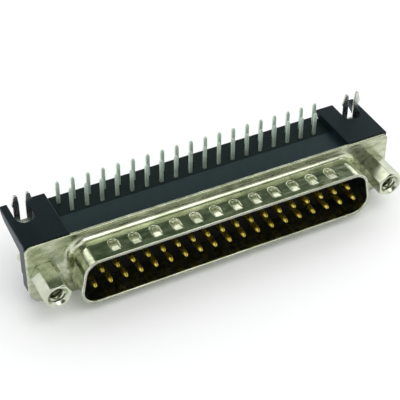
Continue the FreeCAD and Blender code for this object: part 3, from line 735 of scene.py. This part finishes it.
@dataclass
class SoftEdgedCopy:
    """A copy of a solid's mesh with its sharp edges broken by a small radius."""

    node: str
    name: str
    slot: Slot
    radius: float
    segments: int = 2
    bevel_angle: float = math.radians(35.0)
    crease_angle: float = math.radians(18.0)
    flat_angle: float = math.radians(0.8)
    face_weight: int = 100

    def clean_mesh(self) -> Mesh:
        """Merge the solid's points and dissolve its flat edges.

        Returns:
            The cleaned copy of the mesh, with its creases marked.
        """
        work = bmesh.new()
        work.from_mesh(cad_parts[self.node].data)
        bmesh.ops.remove_doubles(work, verts=work.verts[:], dist=MERGE_DISTANCE)
        bmesh.ops.dissolve_limit(
            work, angle_limit=self.flat_angle, verts=work.verts[:], edges=work.edges[:]
        )
        mesh = bpy.data.meshes.new(self.name)
        work.to_mesh(mesh)
        work.free()
        mesh.shade_smooth()
        mesh.set_sharp_from_angle(angle=self.crease_angle)
        return mesh

    def build(self, finishes: Finishes) -> Object:
        """Bevel the cleaned copy.

        Args:
            finishes: The connector's finishes.

        Returns:
            The finished piece.
        """
        piece = Piece.from_mesh(self.name, self.clean_mesh())
        bevel = piece.modifiers.new("edges", "BEVEL")
        bevel.limit_method = "ANGLE"
        bevel.angle_limit = self.bevel_angle
        bevel.width = self.radius
        bevel.segments = self.segments
        bevel.use_clamp_overlap = True
        faces = piece.modifiers.new("flat_faces", "WEIGHTED_NORMAL")
        faces.mode = "FACE_AREA"
        faces.weight = self.face_weight
        faces.keep_sharp = True
        Piece.applied(piece)
        Piece.settle(piece, self.slot, finishes, [self.node])
        return piece


@dataclass
class ContactRow:
    """One row of contacts, set out by geometry nodes from one drawn contact."""

    row: Row
    pitch: float = 2.77 * MM
    count: int = 18
    row_z: float = 1.42 * MM
    tail_y: float = 7.2 * MM
    pin_radius: float = 0.5 * MM
    shoulder_radius: float = 0.8 * MM
    pin_front: float = -5.35 * MM
    shoulder: Span = (1.2 * MM, 2.0 * MM)
    tail_start: float = 1.6 * MM
    tail_half: Span = (0.31 * MM, 0.25 * MM)
    bend_radius: float = 0.9 * MM
    tip_z: float = 9.6 * MM
    tip_taper: float = 0.42 * MM
    edge_round: float = 0.07 * MM
    pin_sides: int = 20
    bend_steps: int = 7
    crease_angle: float = math.radians(40.0)
    # The nose: distances from its front and radii.
    nose: tuple[Span, ...] = (
        (0.0, 0.20 * MM),
        (0.05 * MM, 0.26 * MM),
        (0.55 * MM, 0.44 * MM),
        (0.80 * MM, 0.5 * MM),
    )
    # The tip: shares of the taper below its end, and how much of the section is left there.
    tip: tuple[Span, ...] = ((1.0, 1.0), (0.25, 0.66), (0.0, 0.5))

    def nodes(self) -> list[str]:
        """Name the row's solids.

        Returns:
            The CAD nodes from left to right.
        """
        return [f"contact_{self.row.value}_{n:02d}" for n in range(1, self.count + 1)]

    def pin_rings(self) -> list[Span]:
        """Give the outline of the turned part.

        Returns:
            Places along Y, each with its radius.
        """
        nose = [(self.pin_front + along, radius) for along, radius in self.nose]
        front, back = self.shoulder
        cut = self.edge_round
        return nose + [
            (front, self.pin_radius),
            (front, self.shoulder_radius - cut),
            (front + cut, self.shoulder_radius),
            (back - cut, self.shoulder_radius),
            (back, self.shoulder_radius - cut),
        ]

    def add_pin(self, work: bmesh.types.BMesh) -> None:
        """Turn the pin and its shoulder round the Y axis.

        Args:
            work: The mesh being built.
        """
        rings = []
        for along, radius in self.pin_rings():
            ring = []
            for side in range(self.pin_sides):
                turn = 2.0 * math.pi * side / self.pin_sides
                place = (radius * math.cos(turn), along, radius * math.sin(turn))
                ring.append(work.verts.new(place))
            rings.append(ring)
        for side in range(self.pin_sides):
            after = (side + 1) % self.pin_sides
            for near, far in zip(rings, rings[1:]):
                work.faces.new((near[side], far[side], far[after], near[after]))
        work.faces.new(rings[0])
        work.faces.new(rings[-1])

    def tail_stations(self) -> list[tuple[Vector, Vector, float]]:
        """Give the tail's stations, back from the pin, round the bend and up.

        Returns:
            Centres and directions, each with how much of the section is left.
        """
        rise = self.tip_z - self.row_z
        bend_y = self.tail_y - self.bend_radius
        along = Vector((0.0, 1.0, 0.0))
        up = Vector((0.0, 0.0, 1.0))
        stations = [(Vector((0.0, self.tail_start, 0.0)), along, 1.0)]
        for step in range(self.bend_steps + 1):
            turn = math.pi / 2 * step / self.bend_steps
            y = bend_y + self.bend_radius * math.sin(turn)
            z = self.bend_radius * (1.0 - math.cos(turn))
            direction = along.lerp(up, step / self.bend_steps).normalized()
            stations.append((Vector((0.0, y, z)), direction, 1.0))
        for share, left in self.tip:
            place = Vector((0.0, self.tail_y, rise - share * self.tip_taper))
            stations.append((place, up, left))
        return stations

    def tail_outline(self) -> list[Span]:
        """Give the flat tail's section with its broken corners.

        Returns:
            Places across and through the strip.
        """
        half_x, half_t = self.tail_half
        cut = self.edge_round
        return [
            (half_x, half_t - cut),
            (half_x - cut, half_t),
            (-half_x + cut, half_t),
            (-half_x, half_t - cut),
            (-half_x, -half_t + cut),
            (-half_x + cut, -half_t),
            (half_x - cut, -half_t),
            (half_x, -half_t + cut),
        ]

    def add_tail(self, work: bmesh.types.BMesh) -> None:
        """Run the flat tail's section back, round the bend and up to its tapered tip.

        Args:
            work: The mesh being built.
        """
        outline = self.tail_outline()
        rings = []
        for centre, direction, left in self.tail_stations():
            through = Vector((0.0, -direction.z, direction.y))
            ring = []
            for x, t in outline:
                place = centre + Vector((x, 0.0, 0.0)) * left + through * t * left
                ring.append(work.verts.new(place))
            rings.append(ring)
        for near, far in zip(rings, rings[1:]):
            for step in range(len(outline)):
                after = (step + 1) % len(outline)
                work.faces.new((near[step], near[after], far[after], far[step]))
        work.faces.new(rings[0])
        work.faces.new(rings[-1])

    def contact_mesh(self) -> Mesh:
        """Build one contact about its own pin axis.

        Returns:
            The contact's mesh.
        """
        work = bmesh.new()
        self.add_pin(work)
        self.add_tail(work)
        bmesh.ops.recalc_face_normals(work, faces=work.faces[:])
        mesh = bpy.data.meshes.new(f"one_{self.row.value}_contact")
        work.to_mesh(mesh)
        work.free()
        mesh.shade_smooth()
        mesh.set_sharp_from_angle(angle=self.crease_angle)
        return mesh

    def build(self, finishes: Finishes) -> Object:
        """Repeat the contact along the row.

        Args:
            finishes: The connector's finishes.

        Returns:
            The finished row.
        """
        pattern = Piece.from_mesh(f"pattern_{self.row.value}", self.contact_mesh())
        maker = RepeatAlongX(f"{self.row.value}_contacts", pattern, finishes.made[Slot.CONTACT])
        start = -(self.count - 1) * self.pitch / 2.0
        piece = maker.build(self.count, self.pitch, (start, 0.0, self.row_z))
        bpy.data.objects.remove(pattern)
        Piece.settle(piece, Slot.CONTACT, finishes, self.nodes())
        return piece


class GeometryTree(NodeGraph):
    """A geometry node tree with named inputs, run on an empty mesh."""

    def __init__(self, name: str) -> None:
        """Start a tree whose last nodes realise the instances and set the material.

        Args:
            name: The tree's and the piece's name.
        """
        super().__init__(bpy.data.node_groups.new(name, "GeometryNodeTree"))
        self.name = name
        self.tree.interface.new_socket(
            "Geometry", in_out="OUTPUT", socket_type="NodeSocketGeometry"
        )
        self.values: dict[str, object] = {}
        self.inputs = self.add("NodeGroupInput")
        self.outputs = self.add("NodeGroupOutput")

    def size(self, name: str, kind: str, value: object) -> None:
        """Add a named input with its value.

        Args:
            name: The input's name.
            kind: The socket's type name.
            value: The value that the modifier gets.
        """
        socket = self.tree.interface.new_socket(name, in_out="INPUT", socket_type=kind)
        self.values[socket.identifier] = value

    def run(self, geometry: Socket, material: Material) -> Object:
        """End the tree, evaluate it and return its plain mesh as a piece.

        Args:
            geometry: The tree's last geometry.
            material: The material of the result.

        Returns:
            The new object, with no modifier left.
        """
        realise = self.add("GeometryNodeRealizeInstances")
        paint = self.add("GeometryNodeSetMaterial")
        paint.inputs["Material"].default_value = material
        self.link(geometry, realise.inputs["Geometry"])
        self.link(realise.outputs["Geometry"], paint.inputs["Geometry"])
        self.link(paint.outputs["Geometry"], self.outputs.inputs["Geometry"])
        piece = Piece.from_mesh(self.name, bpy.data.meshes.new(self.name))
        modifier = piece.modifiers.new("nodes", "NODES")
        modifier.node_group = self.tree
        for identifier, value in self.values.items():
            modifier[identifier] = value
        return Piece.applied(piece)


@dataclass
class RepeatAlongX:
    """Geometry nodes that repeat a pattern object along X at a fixed pitch."""

    name: str
    pattern: Object
    material: Material

    def build(self, count: int, pitch: float, start: Triple) -> Object:
        """Set the copies out on a line.

        Args:
            count: Number of copies.
            pitch: Distance between them.
            start: Place of the first one.

        Returns:
            The new piece.
        """
        graph = GeometryTree(self.name)
        graph.size("Count", "NodeSocketInt", count)
        graph.size("Pitch", "NodeSocketFloat", pitch)
        graph.size("Start", "NodeSocketVector", start)
        sizes = graph.inputs.outputs
        step = graph.add("ShaderNodeCombineXYZ")
        graph.link(sizes["Pitch"], step.inputs["X"])
        line = graph.add("GeometryNodeMeshLine", mode="OFFSET")
        graph.link(sizes["Count"], line.inputs["Count"])
        graph.link(sizes["Start"], line.inputs["Start Location"])
        graph.link(step.outputs["Vector"], line.inputs["Offset"])
        source = graph.add("GeometryNodeObjectInfo")
        source.inputs["Object"].default_value = self.pattern
        place = graph.add("GeometryNodeInstanceOnPoints")
        graph.link(line.outputs["Mesh"], place.inputs["Points"])
        graph.link(source.outputs["Geometry"], place.inputs["Instance"])
        return graph.run(place.outputs["Instances"], self.material)


@dataclass
class ScrewThread:
    """A helical thread ridge about a jackscrew's axis, made by geometry nodes."""

    name: str
    centre_x: float
    start_y: float
    length: float
    radius: float
    ridge: float
    pitch: float = 0.635 * MM
    steps_per_turn: int = 28
    ridge_sides: int = 4

    def sweep(self, graph: GeometryTree) -> Socket:
        """Sweep the ridge's section along the helix, with the helix standing on Z.

        Args:
            graph: The thread's node tree, with its sizes.

        Returns:
            The ridge's mesh.
        """
        sizes = graph.inputs.outputs
        helix = graph.add("GeometryNodeCurveSpiral")
        helix.inputs["Resolution"].default_value = self.steps_per_turn
        for source, target in (
            ("Turns", "Rotations"),
            ("Radius", "Start Radius"),
            ("Radius", "End Radius"),
            ("Length", "Height"),
        ):
            graph.link(sizes[source], helix.inputs[target])
        section = graph.add("GeometryNodeCurvePrimitiveCircle", mode="RADIUS")
        section.inputs["Resolution"].default_value = self.ridge_sides
        graph.link(sizes["Ridge"], section.inputs["Radius"])
        sweep = graph.add("GeometryNodeCurveToMesh")
        sweep.inputs["Fill Caps"].default_value = True
        graph.link(helix.outputs["Curve"], sweep.inputs["Curve"])
        graph.link(section.outputs["Curve"], sweep.inputs["Profile Curve"])
        return sweep.outputs["Mesh"]

    def build(self, finishes: Finishes) -> Object:
        """Build the ridge and lay its axis along Y.

        Args:
            finishes: The connector's finishes.

        Returns:
            The finished ridge.
        """
        graph = GeometryTree(self.name)
        graph.size("Turns", "NodeSocketFloat", self.length / self.pitch)
        graph.size("Radius", "NodeSocketFloat", self.radius)
        graph.size("Length", "NodeSocketFloat", self.length)
        graph.size("Ridge", "NodeSocketFloat", self.ridge)
        graph.size("Place", "NodeSocketVector", (self.centre_x, self.start_y, 0.0))
        move = graph.add("GeometryNodeTransform")
        move.inputs["Rotation"].default_value = (-math.pi / 2, 0.0, 0.0)
        graph.link(self.sweep(graph), move.inputs["Geometry"])
        graph.link(graph.inputs.outputs["Place"], move.inputs["Translation"])
        piece = graph.run(move.outputs["Geometry"], finishes.made[Slot.SCREW])
        work = bmesh.new()
        work.from_mesh(piece.data)
        bmesh.ops.remove_doubles(work, verts=work.verts[:], dist=MERGE_DISTANCE)
        bmesh.ops.recalc_face_normals(work, faces=work.faces[:])
        work.to_mesh(piece.data)
        work.free()
        piece.data.shade_flat()
        Piece.settle(piece, Slot.SCREW, finishes)
        return piece


@dataclass
class Hardware:
    """The two jackscrews with their threads and nuts, and the two board locks."""

    centre_x: float = 31.75 * MM
    bore_start: float = -5.72 * MM
    bore_length: float = 4.3 * MM
    bore_radius: float = 1.40 * MM
    bore_ridge: float = 0.25 * MM
    edge_radius: float = 0.10 * MM
    strip_edge_radius: float = 0.06 * MM

    def build(self, finishes: Finishes) -> None:
        """Build both ends' hardware.

        Args:
            finishes: The connector's finishes.
        """
        copies = (
            ("jackscrew", "hex_jackscrew", Slot.SCREW, self.edge_radius),
            ("jackscrew_nut", "hex_nut", Slot.SCREW, self.edge_radius),
            ("board_lock", "forked_lock", Slot.STRIP, self.strip_edge_radius),
        )
        for side, sign in SIDES.items():
            for node, name, slot, radius in copies:
                SoftEdgedCopy(f"{node}_{side}", f"{name}_{side}", slot, radius).build(finishes)
            ScrewThread(
                f"bore_thread_{side}",
                sign * self.centre_x,
                self.bore_start,
                self.bore_length,
                self.bore_radius,
                self.bore_ridge,
            ).build(finishes)


@dataclass
class Housing:
    """The black mouldings and the drawn metal shell."""

    mould_radius: float = 0.07 * MM
    small_radius: float = 0.05 * MM

    def build(self, finishes: Finishes) -> None:
        """Build the mouldings and dress the shell.

        Args:
            finishes: The connector's finishes.
        """
        bracket = SoftEdgedCopy("bracket", "bracket_moulding", Slot.PLASTIC, self.mould_radius)
        bracket.build(finishes)
        spacer = SoftEdgedCopy(
            "tail_spacer", "spacer_moulding", Slot.PLASTIC, self.small_radius
        )
        finishes.paint(spacer.build(finishes), finishes.spacer_plastic)
        for node in ("front_insulator", "rear_insulator"):
            finishes.paint(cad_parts[node], finishes.insulator_plastic)
            log.info("%s: CAD mesh with insulator plastic", node)
        finishes.dress(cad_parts["front_shell"], Slot.SHELL)
        log.info("front_shell: CAD mesh with plated sheet")


@dataclass(frozen=True)
class Lamp:
    """A soft rectangular lamp that faces the connector, with its own brightness."""

    name: str
    place: Triple
    size: Span
    radiance: float

    def build(self) -> None:
        """Hang the lamp."""
        data = bpy.data.lights.new(self.name, "AREA")
        data.shape = "RECTANGLE"
        data.size, data.size_y = self.size
        data.energy = self.radiance * math.pi * self.size[0] * self.size[1]
        lamp = bpy.data.objects.new(self.name, data)
        lamp.location = self.place
        lamp.rotation_mode = "QUATERNION"
        lamp.rotation_quaternion = (-Vector(self.place)).to_track_quat("-Z", "Y")
        bpy.context.scene.collection.objects.link(lamp)


@dataclass(frozen=True)
class Panel:
    """A studio panel, dark or bright, that shows only where the metal and plastic mirror it."""

    name: str
    heading: float
    height_angle: float
    distance: float
    size: Span
    tone: Colour

    def corners(self) -> list[Triple]:
        """Work out the corners of the panel, which faces the connector.

        Returns:
            The four corners in order.
        """
        heading = math.radians(self.heading)
        lift = math.radians(self.height_angle)
        out = Vector((math.cos(heading), math.sin(heading), 0.0)) * math.cos(lift)
        toward = out + Vector((0.0, 0.0, math.sin(lift)))
        side = Vector((math.sin(heading), -math.cos(heading), 0.0)) * (self.size[0] / 2.0)
        up = side.cross(toward).normalized() * (self.size[1] / 2.0)
        middle = toward * self.distance
        corners = [middle - side - up, middle + side - up, middle + side + up, middle - side + up]
        return [tuple(corner) for corner in corners]

    def build(self) -> None:
        """Stand the panel round the connector."""
        mesh = bpy.data.meshes.new(self.name)
        mesh.from_pydata(self.corners(), [], [(0, 1, 2, 3)])
        panel = Piece.from_mesh(self.name, mesh)
        build = NodeBuilder(f"{self.name}_cloth")
        glow = build.add("ShaderNodeEmission")
        glow.inputs["Color"].default_value = (*self.tone, 1.0)
        build.surface(glow.outputs["Emission"])
        mesh.materials.append(build.material)
        panel.visible_camera = False
        panel.visible_diffuse = False
        panel.visible_shadow = False


@dataclass
class Studio:
    """Pale floor, white surroundings, mirror panels, soft lamps and the camera."""

    azimuth: float = math.radians(-27.612)
    elevation: float = math.radians(40.443)
    roll: float = math.radians(0.825)
    distance: float = 209.527 * MM
    target: Triple = (-3.18 * MM, 0.0, 4.854 * MM)
    sensor: float = 36.0
    lens: float = 111.42
    clip: Span = (0.01, 10.0)
    floor_drop: float = 0.1 * MM
    floor_size: float = 0.9
    floor_colour: Colour = (0.95, 0.95, 0.95)
    world_light: Colour = (0.99, 1.0, 1.0)
    world_strength: float = 0.96
    seen_light: Colour = (1.0, 1.0, 1.0)
    seen_strength: float = 1.0
    panels: tuple[Panel, ...] = (
        Panel("rear_flag", 66.0, 55.0, 0.62, (0.74, 0.58), (0.09, 0.12, 0.08)),
        Panel("ceiling", -62.0, 89.5, 0.62, (0.60, 0.25), (0.75, 0.76, 0.66)),
        Panel("right_flag", 8.0, 38.0, 0.62, (0.36, 0.40), (0.40, 0.42, 0.34)),
        Panel("rear_left_glow", 118.0, 42.0, 0.60, (0.16, 0.24), (1.7, 1.7, 1.6)),
        Panel("left_flag", 150.0, 14.0, 0.62, (0.42, 0.30), (0.20, 0.21, 0.15)),
        Panel("front_left_flag", -122.0, 36.0, 0.62, (0.50, 0.40), (0.10, 0.10, 0.09)),
        Panel("front_low_flag", -66.0, 12.5, 0.62, (0.60, 0.28), (0.05, 0.05, 0.04)),
        Panel("front_high_flag", -66.0, 37.5, 0.62, (0.44, 0.26), (0.42, 0.42, 0.37)),
    )
    lamps: tuple[Lamp, ...] = (
        Lamp("front_key", (0.101, -0.195, 0.449), (0.30, 0.25), 1.5),
        Lamp("rear_low", (0.12, 0.46, 0.20), (0.26, 0.08), 1.6),
        Lamp("rear_right", (0.180, 0.094, 0.1435), (0.12, 0.16), 1.0),
    )

    def add_camera(self) -> None:
        """Set the camera at the photograph's angle."""
        flat = Vector((math.sin(self.azimuth), -math.cos(self.azimuth), 0.0))
        back = flat * math.cos(self.elevation) + Vector((0.0, 0.0, math.sin(self.elevation)))
        right = Vector((math.cos(self.azimuth), math.sin(self.azimuth), 0.0))
        up = back.cross(right)
        turned_right = right * math.cos(self.roll) + up * math.sin(self.roll)
        turned_up = up * math.cos(self.roll) - right * math.sin(self.roll)
        data = bpy.data.cameras.new("camera")
        data.sensor_width = self.sensor
        data.lens = self.lens
        data.clip_start, data.clip_end = self.clip
        camera = bpy.data.objects.new("camera", data)
        turn = Matrix((turned_right, turned_up, back)).transposed().to_4x4()
        place = Matrix.Translation(Vector(self.target) + back * self.distance)
        camera.matrix_world = place @ turn
        bpy.context.scene.collection.objects.link(camera)
        bpy.context.scene.camera = camera

    def add_floor(self) -> None:
        """Lay the pale floor under the connector."""
        low = CAD_BOX[0].z - self.floor_drop
        half = self.floor_size / 2.0
        mesh = bpy.data.meshes.new("floor")
        mesh.from_pydata(
            [(-half, -half, low), (half, -half, low), (half, half, low), (-half, half, low)],
            [],
            [(0, 1, 2, 3)],
        )
        floor = Piece.from_mesh("floor", mesh)
        build = NodeBuilder("pale_floor")
        matt = build.add("ShaderNodeBsdfDiffuse")
        matt.inputs["Color"].default_value = (*self.floor_colour, 1.0)
        build.surface(matt.outputs["BSDF"])
        mesh.materials.append(build.material)

    @staticmethod
    def add_sky(graph: NodeGraph, colour: Colour, strength: float) -> Socket:
        """Add an even background.

        Args:
            graph: The world's nodes.
            colour: The background's colour.
            strength: Its brightness.

        Returns:
            The background's shader.
        """
        sky = graph.add("ShaderNodeBackground")
        sky.inputs["Color"].default_value = (*colour, 1.0)
        sky.inputs["Strength"].default_value = strength
        return sky.outputs["Background"]

    def add_world(self) -> None:
        """Light the scene evenly from all round, plain white where camera or mirrors see it."""
        world = bpy.data.worlds.new("studio")
        world.use_nodes = True
        bpy.context.scene.world = world
        graph = NodeGraph(world.node_tree)
        graph.tree.nodes.clear()
        rays = graph.add("ShaderNodeLightPath").outputs
        seen = graph.combined("MAXIMUM", rays["Is Camera Ray"], rays["Is Transmission Ray"])
        seen = graph.combined("MAXIMUM", seen, rays["Is Glossy Ray"])
        mix = graph.add("ShaderNodeMixShader")
        graph.link(seen, mix.inputs["Fac"])
        graph.link(self.add_sky(graph, self.world_light, self.world_strength), mix.inputs[1])
        graph.link(self.add_sky(graph, self.seen_light, self.seen_strength), mix.inputs[2])
        output = graph.add("ShaderNodeOutputWorld")
        graph.link(mix.outputs["Shader"], output.inputs["Surface"])

    def build(self) -> None:
        """Build the whole studio."""
        bpy.context.scene.view_settings.view_transform = "Standard"
        self.add_camera()
        self.add_floor()
        self.add_world()
        for panel in self.panels:
            panel.build()
        for lamp in self.lamps:
            lamp.build()


def main() -> None:
    """Build the studio and every piece of the connector."""
    Studio().build()
    finishes = Finishes()
    finishes.build()
    Housing().build(finishes)
    rows = (
        ContactRow(Row.SHORT),
        ContactRow(Row.LONG, count=19, row_z=-1.42 * MM, tail_y=9.74 * MM),
    )
    for row in rows:
        row.build(finishes)
    Hardware().build(finishes)


if __name__ == "__main__":
    main()
